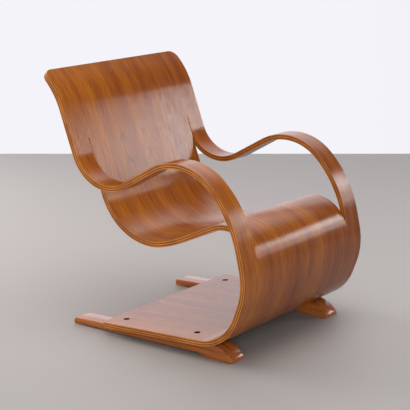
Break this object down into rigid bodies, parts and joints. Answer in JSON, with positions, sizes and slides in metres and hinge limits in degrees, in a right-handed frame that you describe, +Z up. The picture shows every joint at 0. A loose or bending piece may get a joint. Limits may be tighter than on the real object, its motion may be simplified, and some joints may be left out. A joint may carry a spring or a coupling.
{
  "type": "cantilever lounge chair",
  "caption": "Lounge chair bent from a slit sheet of moulded plywood: back, arms, sprung seat, front loop and base plate, on low timber runners.",
  "frame": {"origin": "on the floor, under the middle of the chair's outline", "axes": "+X to the chair's front, +Y to the sitter's left, +Z up"},
  "size_m": [0.7201, 0.6, 0.752],
  "materials": {
    "face_veneer": "rotary-cut birch veneer stained red brown, clear gloss lacquer",
    "cross_veneer": "cross-laid birch veneer, seen only as a darker line in the lacquered edge",
    "core_veneer": "birch core veneer, seen only as a pale line in the lacquered edge",
    "runner_timber": "solid hardwood stained red brown, clear gloss lacquer",
    "screw_metal": "plain steel, dull"
  },
  "bodies": {
    "root": {"sitter_face_ply": "face_veneer", "sitter_cross_ply": "cross_veneer", "core_ply": "core_veneer", "rear_cross_ply": "cross_veneer", "rear_face_ply": "face_veneer", "runner_right": "runner_timber", "runner_left": "runner_timber", "screws": "screw_metal"}
  },
  "joints": []
}
